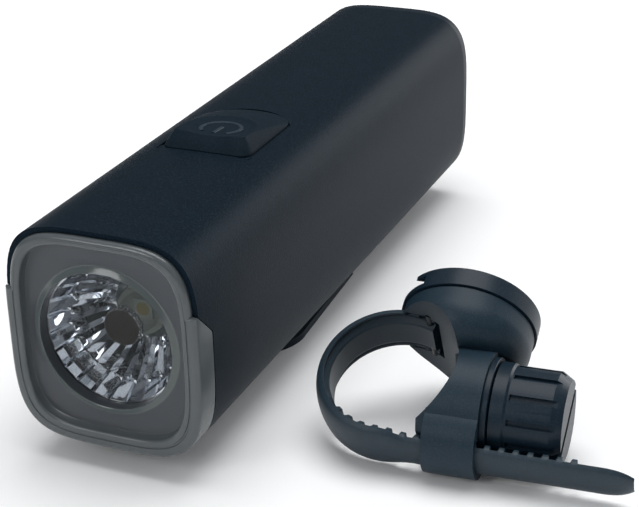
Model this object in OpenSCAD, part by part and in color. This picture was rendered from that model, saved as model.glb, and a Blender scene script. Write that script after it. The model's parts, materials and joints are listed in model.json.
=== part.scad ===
// Bicycle headlight and the strap bracket that holds it on a handlebar.
// Millimetres, +Z up, beam along -Y. The origin is the middle of the foot's underside, on the
// surface that the light stands on. The loose bracket lies on the same surface beside it.

/* [Light body] */
// Width of the tube across its bulged sides
body_w = 36; // [32:0.5:42]
// Height of the tube over its bulged top and bottom
body_h = 39.9; // [37:0.1:46]
// Length of the tube from the hood's edge to the rear cap
tube_len = 135.6; // [130:0.2:165]
// Fullness of the rounded square section, higher is squarer
fullness = 4.1; // [3.6:0.1:5]
// Wall of the tube
tube_wall = 1.6; // [1.2:0.1:2]
// Wall of the tube where the hood covers the lens
hood_wall = 0.9; // [0.6:0.05:1.1]
// Height above the axis where the hood ends on the sides
hood_drop = 7.9; // [5:0.1:10]
// Length of the lens collar that shows below the hood
collar_len = 4.6; // [3.5:0.1:6]

/* [Lens and lamp] */
// How far the lens stands ahead of the hood
lens_proud = 1.2; // [0.8:0.1:2]
// Width of the lens rim
rim_w = 2.9; // [2.4:0.1:3.4]
// Radius of the rounded edge of the rim
rim_round = 0.9; // [0.5:0.1:1]
// Depth of the lens plate behind the rim
lens_recess = 1.9; // [1:0.1:2.4]
// Thickness of the lens plate
plate_t = 1.6; // [1.2:0.1:2]
// Height of the plate's middle above the axis
plate_lift = 0.3; // [0:0.1:0.4]
// Radius of the clear window
window_r = 12.5; // [10:0.1:12.8]
// Width of the bevel round the window
bevel_w = 0.7; // [0.4:0.1:1]
// Depth of the reflector bowl
bowl_depth = 10.5; // [9:0.5:14]
// Radius of the opening at the back of the bowl
bowl_hole_r = 4.6; // [4.2:0.1:5]
// Number of flutes round the bowl
flutes = 24; // [16:1:32]
// Depth of one flute
flute_depth = 0.45; // [0.2:0.05:0.6]
// Width of the square emitter
emitter_w = 3.5; // [3:0.1:4]
// Length of the heat sink
sink_len = 12; // [8:1:14]

/* [Button] */
// Width of the button at the body
button_w = 18; // [14:0.5:19]
// Distance of the button's straight front edge from the hood's edge
button_front = 38.4; // [36:0.1:46]
// Length of the button's straight sides
button_side = 18.3; // [14:0.1:20]
// Rise of the rounded rear edge behind the straight sides
button_arc = 5.3; // [3:0.1:6]
// Height of the button's front edge above the body
button_h = 2.6; // [1.5:0.1:3.5]
// Slope of the button's top, falling to the rear, in degrees
button_slope = 8; // [4:1:12]
// Travel of the button
button_travel = 0.6; // [0.3:0.1:0.8]

/* [Battery and electronics] */
// Diameter of the lithium cell
cell_d = 21.2; // [18:0.1:22]
// Length of the lithium cell
cell_len = 70.2; // [60:0.1:72]
// Depth of the cell's axis below the tube's axis
cell_drop = 3; // [2:0.1:4]
// Width of the control board
board_w = 22; // [18:0.5:24]
// Thickness of the circuit boards
board_t = 1.2; // [0.8:0.1:1.6]
// Width of the charging socket's shell
socket_w = 8.9; // [8.6:0.1:9.4]
// Height of the charging socket's shell
socket_h = 3.3; // [3.1:0.1:3.6]

/* [Rear cap] */
// Thickness of the rear cap behind the tube
cap_t = 3.6; // [3:0.1:5]
// Radius of the rounded rear edge
cap_round = 1.4; // [0.6:0.1:2]
// Depth of the cap's spigot in the tube
spigot_len = 5; // [4:0.5:8]
// Height of the rubber port cover
cover_h = 8.5; // [7.5:0.5:10]
// Width of the rubber port cover
cover_w = 15; // [13:0.5:18]
// Thickness of the rubber port cover
cover_t = 1.5; // [1:0.1:1.8]

/* [Foot] */
// Distance of the foot's round nose from the hood's edge
foot_front = 44.4; // [40:0.2:52]
// Length of the foot
foot_len = 42; // [36:0.2:46]
// Width of the foot's flange at its nose
foot_w = 22.5; // [19:0.1:24]
// Width of the foot's flange at its rear end
foot_rear_w = 19.1; // [17:0.1:21]
// Height of the foot below the tube
foot_h = 4.6; // [4:0.1:6]
// Thickness of the foot's flange
flange_t = 1.4; // [1.2:0.1:1.8]
// Depth of the groove over the flange on each side
groove_w = 1.8; // [1.2:0.1:2.4]

/* [Bracket] */
// Diameter of the swivelling platform
disc_d = 24.5; // [24:0.1:30]
// Height of the platform's rim
disc_t = 3.5; // [3.3:0.1:5]
// Depth of the knob's axis below the platform's top
axis_drop = 19.9; // [19.4:0.1:22]
// Radius of the barrel round the worm
barrel_r = 9.7; // [9.5:0.1:10.5]
// Distance of the barrel's outer end from the platform's axis
barrel_end = 7.5; // [7:0.1:9]
// Diameter of the handlebar
bar_d = 22.2; // [20:0.1:22.8]
// Distance of the handlebar's axis from the platform's axis
bar_offset = 9.8; // [9.6:0.1:11]
// Depth of the handlebar's axis below the platform's top
bar_drop = 17.8; // [17.4:0.1:19]
// Thickness of the rubber pad on the saddle
pad_t = 0.7; // [0.5:0.1:1]
// Radius of the worm
worm_r = 8.4; // [8:0.05:8.6]
// Radius of the worm's shaft
shaft_r = 4; // [3:0.1:5]
// Radius of the knob over its grip
knob_r = 8.1; // [7:0.1:9]
// Distance of the knob's shoulder from the platform's axis
knob_shoulder = 19; // [17:0.5:22]
// Length of the knob's conical nose
knob_nose = 1.9; // [1:0.1:3]
// Number of grip panels round the knob
knob_panels = 12; // [8:1:16]
// Width of the coin slot
coin_slot = 1.7; // [1.2:0.1:2.2]

/* [Strap] */
// Thickness of the strap over its teeth
strap_t = 2.6; // [2.4:0.1:2.9]
// Width of the strap where it goes round the handlebar
loop_w = 9.8; // [8:0.1:11]
// Width of the strap's toothed tail
tail_w = 7.4; // [6:0.1:8]
// Distance of the tail's tip from the platform's axis
tail_end = 33.5; // [30:0.5:50]
// Radius of the strap's rounded back
strap_round = 5.6; // [5.4:0.1:7]
// Spacing of the teeth
tooth_pitch = 2.4; // [2:0.1:3]
// Height of the teeth
tooth_h = 1.1; // [0.7:0.1:1.3]

/* [Bracket on the surface] */
// Place of the bracket to the right of the light's axis
bracket_x = 50; // [48:1:90]
// Place of the bracket ahead of or behind the foot's middle
bracket_y = -22; // [-60:1:40]
// Turn of the bracket about the vertical, in degrees
bracket_turn = 4; // [-30:1:30]

/* [Hidden] */
$fn = 64;

// Clearances: a close seat, a running fit, and free air between moving pieces
seat = 0.05;
running = 0.06;
air = 0.3;
// Overlap of cutting shapes past the faces that they cut
past = 1;

// The tube's section
half_w = body_w / 2;
half_h = body_h / 2;
section_steps = 72;
axis_z = foot_h + half_h;
foot_mid = foot_front + foot_len / 2;

// Stations behind the hood's edge, front to rear
lens_front = -lens_proud;
plate_front = lens_front + lens_recess;
plate_back = plate_front + plate_t;
seal_t = 1;
bowl_front = plate_back + seal_t;
bowl_flange_t = 1.2;
bowl_flange_w = 1.6;
bowl_back = bowl_front + bowl_depth;
core_board_front = bowl_back + 0.2;
core_board_back = core_board_front + board_t;
emitter_t = 0.7;
sink_back = core_board_back + sink_len;
lens_skirt_t = 1.2;
lens_skirt_end = 9;
cradle_front = sink_back + 0.5;
spigot_front = tube_len - spigot_len;
cradle_back = spigot_front - air;
cap_back = tube_len + cap_t;
cell_front = cradle_front + 3;

// Heights above the tube's axis
inner_inset = tube_wall + seat;
cell_fit = 0.15;
board_bottom = cell_d / 2 - cell_drop + 2.5;
board_top = board_bottom + board_t;
switch_body_h = 2;
switch_top = board_top + switch_body_h + 0.5;
button_flange = 1.2;
button_flange_t = 0.9;
flange_half_w = button_w / 2 + button_flange;
flange_top = section_z(flange_half_w, tube_wall) - 0.15;
flange_bottom = flange_top - button_flange_t;
button_mid = button_front + 7.9;
button_bevel = 2.6;
button_groove = 0.3;
base_sink = 0.3;
socket_len = 7.4;
socket_z = board_top + socket_h / 2 + 0.2;
cover_z = socket_z - 0.4;

// Screws: the rear cap's pair and the foot's pair
rear_screw_r = 1.1;
rear_screw_bite = 8;
rear_screw_inset = 6.2;
cap_screw_head_r = 2.1;
cap_screw_head_t = 1.5;
foot_screw_r = 1.25;
foot_screw_head_r = 2.4;
foot_screw_head_t = 1.4;
foot_screw_bite = 3.4;
screw_sink = 0.2;

// The bracket, measured from the middle of the platform's top face
bar_r = bar_d / 2;
clamp_r = bar_r + seat;
saddle_r = clamp_r + pad_t;
strap_outer_r = clamp_r + strap_t;
strap_top = -bar_drop - clamp_r;
strap_under = strap_top - strap_t;
barrel_start = -3;
saddle_wall = 1;
worm_start = -bar_offset + saddle_r + saddle_wall;
collar_t = 1.2;
collar_flange_t = 1.1;
collar_flange_r = worm_r + 0.6;
worm_end = barrel_end - collar_t - running;
knob_base = barrel_end + collar_flange_t + air;
knob_face = knob_shoulder + knob_nose;
knob_collar_len = 2.6;
knob_collar_r = knob_r + 0.3;
shaft_end = knob_shoulder - 3;
guide_wall = 1.1;
guide_slot = 0.25;
guide_r = strap_round + guide_slot + guide_wall;
guide_drop = -strap_under - strap_round;
guide_start = -1.5;
guide_end = barrel_end;
hub_r = 3.3;
hub_len = 2.2;
neck_gap = air;
neck_top = disc_t + neck_gap;
neck_r = disc_d / 2 - 0.4;
cup_wall = 3;
cup_round = 5.6;
cup_drop = 5.6;
washer_t = 0.6;
socket_floor = disc_t + hub_len + washer_t;
pivot_r = 1.25;
pivot_head_r = 2.3;
pivot_head_t = 1.6;
pivot_skin = 0.4;
pivot_end = bar_drop - sqrt(pow(saddle_r, 2) - pow(bar_offset - pivot_r - pivot_skin, 2));
lip_t = 0.9;
channel_depth = lip_t + flange_t + 0.2;
root_angle = 66;
root_x = -bar_offset + strap_outer_r * cos(root_angle) + air;
root_z = -bar_drop + clamp_r * sin(root_angle) - past;
pin_angle = root_angle + 5.5;
root_r = clamp_r + strap_t / 2;
pin_r = 0.8;
pin_len = loop_w + 2 * air + 1.2;

// The bracket leans back until its barrel and its strap guide both touch the surface
bracket_lean = acos((barrel_r - guide_r) / (guide_drop - axis_drop));
bracket_lift = axis_drop * cos(bracket_lean) + barrel_r;

// Half height of the section at a distance from its middle, on a wall inset from the outside
function section_z(x, inset) =
    (half_h - inset) * pow(1 - pow(abs(x) / (half_w - inset), fullness), 1 / fullness);

// Rounded square as a superellipse of half sizes a and b
function squircle(a, b) = [
    for (i = [0:section_steps - 1])
        let (t = 360 * (i + 0.5) / section_steps, c = cos(t), s = sin(t))
        [a * sign(c) * pow(abs(c), 2 / fullness), b * sign(s) * pow(abs(s), 2 / fullness)]
];

// Places a shape drawn from the hood's edge and the tube's axis
module in_light() {
    translate([0, -foot_mid, axis_z]) children();
}

// Places a shape drawn from the middle of the platform's top face
module in_bracket() {
    translate([bracket_x, bracket_y, bracket_lift])
        rotate([0, 0, bracket_turn])
            rotate([-bracket_lean, 0, 0])
                children();
}

// Extrudes a section of width and height along the tube from one station to another
module along_tube(from, to) {
    translate([0, to, 0]) rotate([90, 0, 0]) linear_extrude(to - from) children();
}

// Prism with the tube's section, inset from its outside
module tube_prism(inset, from, to) {
    along_tube(from, to) polygon(squircle(half_w - inset, half_h - inset));
}

// Closed skin over a row of rings that all have the same number of points
module skin(rings) {
    n = len(rings[0]);
    last = len(rings) - 1;
    walls = [
        for (k = [0:last - 1])
            for (i = [0:n - 1])
                let (a = k * n + i, b = k * n + (i + 1) % n)
                each [[a, b, a + n], [b, b + n, a + n]]
    ];
    first_cap = [[for (i = [n - 1:-1:0]) i]];
    last_cap = [[for (i = [0:n - 1]) last * n + i]];
    polyhedron([for (ring = rings) each ring], concat(first_cap, walls, last_cap));
}

// Ring with the tube's section at a station, inset from its outside and lifted
function section_ring(inset, y, lift = 0) =
    [for (p = squircle(half_w - inset, half_h - inset)) [p[0], y, p[1] + lift]];

// Round ring at a station, with as many points as the section rings
function round_ring(r, y) =
    [for (i = [0:section_steps - 1]) let (t = 360 * (i + 0.5) / section_steps) [r * cos(t), y, r * sin(t)]];

// Side view of the space that the lens collar fills below the hood
module collar_space(gap) {
    rotate([90, 0, 90])
        linear_extrude(body_w + 2 * past, center = true)
            polygon([
                [-body_w, hood_drop - gap],
                [0, hood_drop - gap],
                [collar_len - gap, hood_drop - collar_len],
                [collar_len - gap, -body_h],
                [-body_w, -body_h]
            ]);
}

// Outline of the button from above: straight front, straight sides and an arched rear edge
module button_outline(grow) {
    w = button_w / 2 + grow;
    rear = button_front + button_side;
    arch = button_arc + grow;
    arch_r = (w * w + arch * arch) / (2 * arch);
    translate([-w, button_front - grow]) square([2 * w, button_side + grow]);
    intersection() {
        translate([-w, rear - past]) square([2 * w, arch + past]);
        translate([0, rear + arch - arch_r]) circle(arch_r, $fn = 128);
    }
}

module body_shell() {
    color("#16191f") in_light() difference() {
        tube_prism(0, 0, tube_len);
        tube_prism(tube_wall, -past, tube_len + past);
        tube_prism(hood_wall, -past, lens_skirt_end - 2);
        collar_space(0);
        linear_extrude(body_h) button_outline(button_groove);
        for (y = foot_screw_stations())
            translate([0, y, -body_h]) cylinder(r = foot_screw_r + seat, h = body_h);
    }
}

// Ring of the lens rim: drawn in under the hood, flush with the tube on the collar below it
function rim_ring(extra, y) = [
    for (p = squircle(1, 1))
        let (inset = extra + (p[1] * half_h < hood_drop ? 0 : hood_wall + seat))
        [p[0] * (half_w - inset), y, p[1] * (half_h - inset)]
];

// Ring at the rear edge of the collar, which slants up to the hood's edge on the sides
function collar_ring(inset, behind) = [
    for (p = squircle(1, 1))
        let (
            z = p[1] * half_h,
            under_hood = z >= hood_drop,
            shown = under_hood ? 0 : min(collar_len, hood_drop - z),
            drawn_in = under_hood ? hood_wall + seat : inset,
            y = max(shown - seat, lens_front + rim_round + 0.1) + (under_hood ? behind : 0)
        )
        [p[0] * (half_w - drawn_in), y, p[1] * (half_h - drawn_in)]
];

// The lens is one moulding: window, bevel, plate, rim, collar and the skirt inside the tube
module front_lens() {
    arc = [for (a = [0:30:90]) [rim_round * (1 - sin(a)), lens_front + rim_round * (1 - cos(a))]];
    inner_edge = 0.4;
    color("#8d949b", 0.6) in_light() skin(concat(
        [
            round_ring(window_r, plate_front + bevel_w),
            round_ring(window_r + bevel_w, plate_front),
            section_ring(rim_w, plate_front, plate_lift),
            section_ring(rim_w, lens_front + inner_edge, plate_lift),
            section_ring(rim_w - inner_edge, lens_front, plate_lift)
        ],
        [for (row = arc) rim_ring(row[0], row[1])],
        [
            collar_ring(0, 0),
            collar_ring(hood_wall + seat, 0.3),
            section_ring(hood_wall + seat, lens_skirt_end - 2 - seat),
            section_ring(tube_wall + seat, lens_skirt_end - 2 - seat),
            section_ring(tube_wall + seat, lens_skirt_end),
            section_ring(tube_wall + lens_skirt_t, lens_skirt_end),
            section_ring(tube_wall + lens_skirt_t, plate_back)
        ]
    ));
}

module lens_seal() {
    color("#24262a") in_light() along_tube(plate_back, bowl_front) difference() {
        circle(window_r + bowl_flange_w);
        circle(window_r + 0.3);
    }
}

// Bowl with scalloped flutes, swept as one closed ring of profile points
module reflector() {
    steps = flutes * 4;
    inner_rows = 6;
    back_wall = 1;
    function bowl_y(r) =
        bowl_front + bowl_depth * (1 - (r * r - bowl_hole_r * bowl_hole_r)
            / (window_r * window_r - bowl_hole_r * bowl_hole_r));
    function scallop(a) = flute_depth * abs(cos(a * flutes / 2));
    inside = [
        for (k = [0:inner_rows])
            let (r = window_r + (bowl_hole_r - window_r) * k / inner_rows)
            [r, bowl_y(r), k == 0 || k == inner_rows ? 0 : (k == 1 ? -0.5 : 1)]
    ];
    outside = [
        [bowl_hole_r + back_wall, bowl_back, 0],
        [window_r * 0.7 + back_wall, bowl_y(window_r * 0.7) + back_wall, 0],
        [window_r + 0.6, bowl_front + bowl_flange_t, 0],
        [window_r + bowl_flange_w, bowl_front + bowl_flange_t, 0],
        [window_r + bowl_flange_w, bowl_front, 0]
    ];
    rows = concat(inside, outside);
    n = len(rows);
    points = [
        for (row = rows)
            for (i = [0:steps - 1])
                let (a = 360 * i / steps, r = row[0] + row[2] * scallop(a))
                [r * cos(a), row[1], r * sin(a)]
    ];
    faces = [
        for (k = [0:n - 1])
            for (i = [0:steps - 1])
                let (
                    a = k * steps + i,
                    b = k * steps + (i + 1) % steps,
                    c = ((k + 1) % n) * steps + i,
                    d = ((k + 1) % n) * steps + (i + 1) % steps
                )
                each [[a, b, c], [b, d, c]]
    ];
    color("#d9dde2") in_light() polyhedron(points, faces);
}

// Clear tube lens that stands over the emitter in the middle of the bowl
module collimator() {
    rim_t = 1.2;
    tube_r = bowl_hole_r - 0.9;
    tube_front = bowl_back - 8;
    color("#e8eef2", 0.5) in_light() translate([0, core_board_front, 0]) rotate([90, 0, 0])
        rotate_extrude() polygon([
            [emitter_w * 0.75, 0],
            [bowl_hole_r - 0.1, 0],
            [bowl_hole_r - 0.1, rim_t],
            [tube_r, rim_t],
            [tube_r, core_board_front - tube_front],
            [tube_r - 0.8, core_board_front - tube_front],
            [0, core_board_front - tube_front - 1.2],
            [0, emitter_t + 0.5],
            [emitter_w * 0.75, emitter_t + 0.5]
        ]);
}

module led_emitter() {
    color("#f2e58c") in_light() translate([0, core_board_front - emitter_t / 2, 0])
        cube([emitter_w, emitter_t, emitter_w], center = true);
}

module led_board() {
    disc_r = window_r * 0.72;
    hole_x = disc_r * 0.72;
    hole_r = 1;
    color("#e9ebe6") in_light() along_tube(core_board_front, core_board_back) difference() {
        circle(disc_r);
        for (x = [-hole_x, hole_x]) translate([x, 0]) circle(hole_r);
    }
}

// Aluminium plug that carries the emitter board and passes its heat to the tube
module heat_sink() {
    rib_w = 2;
    grooves = 3;
    groove_depth = 2.5;
    pitch = (sink_len - rib_w) / grooves;
    color("#a9adb3") in_light() difference() {
        tube_prism(inner_inset, core_board_back, sink_back);
        for (k = [0:grooves - 1])
            difference() {
                tube_prism(0, core_board_back + rib_w + k * pitch, core_board_back + (k + 1) * pitch);
                tube_prism(inner_inset + groove_depth, core_board_back, sink_back);
            }
        for (x = [-6, 6])
            translate([x, core_board_back - past, 6])
                rotate([-90, 0, 0]) cylinder(r = 1.2, h = sink_len + 2 * past);
    }
}

function rear_screw_places() = [for (x = [-1, 1]) [x * (half_w - rear_screw_inset), -half_h * 0.5]];

// Tray that holds the cell below and the control board above
module cell_cradle() {
    top_opening = cell_d * 0.36;
    color("#3a3d42") in_light() difference() {
        along_tube(cradle_front, cradle_back) difference() {
            intersection() {
                polygon(squircle(half_w - inner_inset - 0.1, half_h - inner_inset - 0.1));
                translate([-half_w, -half_h]) square([body_w, half_h + board_bottom]);
            }
            translate([0, -cell_drop]) circle(cell_d / 2 + cell_fit);
            translate([-top_opening, -cell_drop]) square([2 * top_opening, body_h]);
        }
        for (p = rear_screw_places())
            translate([p[0], cradle_back - rear_screw_bite, p[1]])
                rotate([-90, 0, 0]) cylinder(r = rear_screw_r + seat, h = rear_screw_bite + past);
        for (y = foot_screw_stations())
            translate([0, y, -half_h]) cylinder(r = foot_screw_r + seat, h = half_h);
    }
}

module battery_cell() {
    cap_r = 4;
    cap_h = 1;
    color("#3f6fae") in_light() translate([0, cell_front + cell_len, -cell_drop]) rotate([90, 0, 0]) {
        cylinder(r = cell_d / 2, h = cell_len - cap_h);
        cylinder(r = cap_r, h = cell_len);
    }
}

module control_board() {
    front = button_front - 2;
    color("#1f5a3c") in_light()
        translate([-board_w / 2, front, board_bottom])
            cube([board_w, cradle_back - front, board_t]);
}

module tact_switch() {
    switch_w = 6;
    color("#c7c9cc") in_light() translate([0, button_mid, board_top]) {
        translate([-switch_w / 2, -switch_w / 2, 0]) cube([switch_w, switch_w, switch_body_h]);
        cylinder(r = 1.6, h = switch_top - board_top);
    }
}

// Frame on the board that guides the button's flange
module button_frame() {
    frame_wall = 1.4;
    top = flange_bottom - button_travel - seat;
    length = button_side + 2 * button_flange;
    color("#2a2d31") in_light() translate([0, button_front - button_flange, board_top])
        linear_extrude(top - board_top) difference() {
            translate([-flange_half_w, 0]) square([2 * flange_half_w, length]);
            translate([-flange_half_w + frame_wall, frame_wall])
                square([2 * (flange_half_w - frame_wall), length - 2 * frame_wall]);
        }
}

// Rubber button: sloped front, raised top with a round dish, flange and nub inside the tube
module power_button() {
    base_z = half_h - base_sink;
    top_in = 2.3;
    top_t = 0.4;
    top_len = 10.4;
    top_front = button_front + button_bevel;
    top_w = button_w / 2 - top_in;
    dish_r = 4.6;
    dish_sphere = 24;
    ring_r = 3.6;
    ring_w = 0.75;
    emboss = 0.35;
    dish_depth = 0.45;
    nub_r = 2;
    mark_gap = 50;
    color("#14171c") in_light() {
        difference() {
            hull() {
                translate([0, 0, flange_bottom]) linear_extrude(base_z - flange_bottom)
                    button_outline(0);
                translate([0, top_front, half_h + button_h]) rotate([-button_slope, 0, 0])
                    translate([0, 0, -top_t]) linear_extrude(top_t) {
                        translate([-top_w, 0]) square([2 * top_w, top_len - top_w]);
                        intersection() {
                            translate([-top_w, 0]) square([2 * top_w, top_len]);
                            translate([0, top_len - top_w]) circle(top_w, $fn = 48);
                        }
                    }
            }
            on_button_top() translate([0, 0, dish_sphere - dish_depth]) sphere(dish_sphere);
        }
        on_button_top() translate([0, 0, -dish_depth]) {
            linear_extrude(emboss) difference() {
                circle(ring_r);
                circle(ring_r - ring_w);
                rotate(-90 - mark_gap / 2) square([2 * ring_r, 2 * ring_r]);
                rotate(-180 + mark_gap / 2) square([2 * ring_r, 2 * ring_r]);
            }
            translate([-ring_w / 2, -ring_r - 0.5, 0]) cube([ring_w, ring_r, emboss]);
        }
        translate([0, 0, flange_bottom]) linear_extrude(button_flange_t)
            button_outline(button_flange);
        translate([0, button_mid, switch_top + button_travel + seat])
            cylinder(r = nub_r, h = flange_bottom + past - switch_top - button_travel);
    }
}

// Frame on the button's sloped top, at the middle of its dish
module on_button_top() {
    drop = (button_mid - button_front - button_bevel) * tan(button_slope);
    translate([0, button_mid, half_h + button_h - drop]) rotate([-button_slope, 0, 0]) children();
}

// Rounded slot outline, lying flat in width and height
module stadium(w, h) {
    square([w - h, h], center = true);
    for (x = [-1, 1]) translate([x * (w - h) / 2, 0]) circle(h / 2);
}

module usb_socket() {
    shell_t = 0.4;
    tongue_h = 0.7;
    front = cradle_back - 1;
    color("#b9bdc2") in_light() translate([0, 0, socket_z]) {
        along_tube(front, front + socket_len) difference() {
            stadium(socket_w, socket_h);
            stadium(socket_w - 2 * shell_t, socket_h - 2 * shell_t);
        }
        along_tube(front, front + 1) stadium(socket_w, socket_h);
        translate([-socket_w * 0.37, front, -tongue_h / 2])
            cube([socket_w * 0.74, socket_len - 1, tongue_h]);
        translate([-socket_w * 0.4, front, board_top - socket_z])
            cube([socket_w * 0.8, 1, socket_h / 2]);
    }
}

module rear_cap() {
    spigot_wall = 1.8;
    port_gap = 0.25;
    cavity = 0.4;
    arc = [for (a = [0:30:90]) [cap_round * (1 - cos(a)), cap_back - cap_round * (1 - sin(a))]];
    color("#1b1e23") in_light() difference() {
        skin(concat(
            [
                section_ring(inner_inset + spigot_wall, tube_len + cavity),
                section_ring(inner_inset + spigot_wall, spigot_front),
                section_ring(inner_inset, spigot_front),
                section_ring(inner_inset, tube_len),
                section_ring(0, tube_len)
            ],
            [for (row = arc) section_ring(row[0], row[1])]
        ));
        along_tube(tube_len, cap_back + past) translate([0, socket_z])
            stadium(socket_w + 2 * port_gap, socket_h + 2 * port_gap);
        along_tube(cap_back - cover_t - seat, cap_back + past)
            translate([0, cover_z])
                square([cover_w + 2 * air, cover_h + 2 * air], center = true);
        for (p = rear_screw_places()) translate([p[0], 0, p[1]]) rotate([-90, 0, 0]) {
            translate([0, 0, tube_len]) cylinder(r = rear_screw_r + 0.15, h = cap_t + past);
            translate([0, 0, cap_back - cap_screw_head_t - 0.2])
                cylinder(r = cap_screw_head_r + 0.2, h = cap_t);
        }
    }
}

// Flat gasket round the spigot, in a groove of the tube's end
module rear_seal() {
    color("#303338") in_light() along_tube(spigot_front - 0.25, spigot_front - seat) difference() {
        polygon(squircle(half_w - inner_inset, half_h - inner_inset));
        polygon(squircle(half_w - inner_inset - 1.6, half_h - inner_inset - 1.6));
    }
}

module rear_screws() {
    start = cradle_back - rear_screw_bite + 0.5;
    head = cap_back - cap_screw_head_t - 0.2;
    color("#7d8187") in_light() for (p = rear_screw_places())
        translate([p[0], start, p[1]]) rotate([-90, 0, 0]) difference() {
            union() {
                cylinder(r = rear_screw_r, h = head - start + 0.1);
                translate([0, 0, head - start]) cylinder(r = cap_screw_head_r, h = cap_screw_head_t);
            }
            translate([0, 0, head - start + 0.6]) cylinder(r = 1.1, h = cap_screw_head_t, $fn = 6);
        }
}

// Rubber flap over the charging socket, hinged along its lower edge
module port_cover() {
    tab_w = 5;
    tab_lip = 0.8;
    color("#191c20") in_light() translate([0, cap_back - cover_t, cover_z]) {
        translate([-cover_w / 2, 0, -cover_h / 2]) cube([cover_w, cover_t, cover_h]);
        translate([-tab_w / 2, cover_t - 0.1, cover_h / 2 - 1.4]) cube([tab_w, tab_lip, 1.4]);
    }
}

function foot_screw_stations() = [foot_front + 12, foot_front + foot_len - 8];

// Outline of the foot from below: a round nose and straight sides that draw in to the rear
module foot_outline(inset) {
    nose_r = foot_w / 2 - inset;
    rear_half = foot_rear_w / 2 - inset;
    translate([0, foot_front + nose_r + inset]) circle(nose_r);
    polygon([
        [-nose_r, foot_front + nose_r + inset],
        [-rear_half, foot_front + foot_len],
        [rear_half, foot_front + foot_len],
        [nose_r, foot_front + nose_r + inset]
    ]);
}

module mount_foot() {
    catch_w = 6;
    catch_l = 2.2;
    catch_t = 0.9;
    catch_at = 26;
    color("#17191e") in_light() difference() {
        union() {
            translate([0, 0, -axis_z]) linear_extrude(flange_t) foot_outline(0);
            translate([0, 0, -axis_z]) linear_extrude(foot_h + 1) foot_outline(groove_w);
        }
        tube_prism(-seat, 0, tube_len);
        for (y = foot_screw_stations()) translate([0, y, -axis_z - past]) {
            cylinder(r = foot_screw_r + 0.1, h = foot_h + 3 * past);
            cylinder(r = foot_screw_head_r + 0.15, h = past + foot_screw_head_t + 0.3);
        }
        translate([-catch_w / 2, foot_front + catch_at, -axis_z - past]) cube([catch_w, catch_l, past + catch_t]);
    }
}

module foot_screws() {
    head_z = -axis_z + foot_screw_head_t + 0.3;
    color("#8a8e94") in_light() for (y = foot_screw_stations()) translate([0, y, head_z]) difference() {
        union() {
            translate([0, 0, -foot_screw_head_t])
                cylinder(r = foot_screw_head_r, h = foot_screw_head_t);
            translate([0, 0, -0.1]) cylinder(r = foot_screw_r, h = foot_h + foot_screw_bite - head_z - axis_z);
        }
        translate([0, 0, -foot_screw_head_t - past]) cylinder(r = 1.2, h = past + 0.8, $fn = 6);
    }
}

// Cylinder along the handlebar, round its axis
module on_bar(r, w) {
    translate([-bar_offset, 0, -bar_drop]) rotate([90, 0, 0])
        cylinder(r = r, h = w, center = true, $fn = 96);
}

// Cylinder along the knob's axis from one place to another
module on_knob_axis(r, from, to) {
    translate([from, 0, -axis_drop]) rotate([0, 90, 0]) cylinder(r = r, h = to - from);
}

// Swivelling platform: a channel with two lips takes the foot, a hub turns in the neck
module platform() {
    slot_w = foot_rear_w - 2 * groove_w + 2 * air;
    groove_top = foot_rear_w + 2 * air;
    rim_wall = 1;
    stop_x = sqrt(pow(disc_d / 2 - rim_wall, 2) - pow(groove_top / 2, 2));
    tongue_w = 5;
    tongue_len = 6;
    slit_from = 0.6;
    slit = 0.8;
    color("#15181d") in_bracket() difference() {
        union() {
            translate([0, 0, -disc_t]) cylinder(r = disc_d / 2, h = disc_t);
            translate([0, 0, -disc_t - hub_len]) cylinder(r = hub_r, h = hub_len + past / 2);
        }
        translate([-disc_d, -groove_top / 2, -channel_depth])
            cube([disc_d + stop_x, groove_top, channel_depth - lip_t]);
        translate([-disc_d, -slot_w / 2, -channel_depth]) cube([disc_d + stop_x, slot_w, disc_t]);
        translate([0, 0, -disc_t - hub_len - past])
            cylinder(r = pivot_r + 0.1, h = hub_len + disc_t);
        translate([0, 0, -channel_depth - pivot_head_t - 0.3])
            cylinder(r = pivot_head_r + 0.2, h = disc_t);
        for (s = [-1, 1])
            translate([-disc_d / 2 + slit_from, s * (tongue_w + slit) / 2 - slit / 2, -disc_t - past])
                cube([tongue_len, slit, disc_t]);
    }
}

module pivot_screw() {
    head_z = -channel_depth - pivot_head_t - 0.1;
    cross_l = 2.8;
    cross_w = 0.7;
    cross_t = 0.9;
    color("#9a9ea4") in_bracket() difference() {
        union() {
            translate([0, 0, head_z]) cylinder(r = pivot_head_r, h = pivot_head_t);
            translate([0, 0, -pivot_end]) cylinder(r = pivot_r, h = pivot_end + head_z + 0.1);
        }
        for (a = [0, 90])
            rotate(a) translate([-cross_l / 2, -cross_w / 2, -channel_depth - cross_t]) cube([cross_l, cross_w, past]);
    }
}

module friction_washer() {
    color("#8f9399") in_bracket() translate([0, 0, -socket_floor]) difference() {
        cylinder(r = hub_r - 0.2, h = washer_t - running);
        translate([0, 0, -past]) cylinder(r = pivot_r + 0.15, h = washer_t + 2 * past);
    }
}

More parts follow.
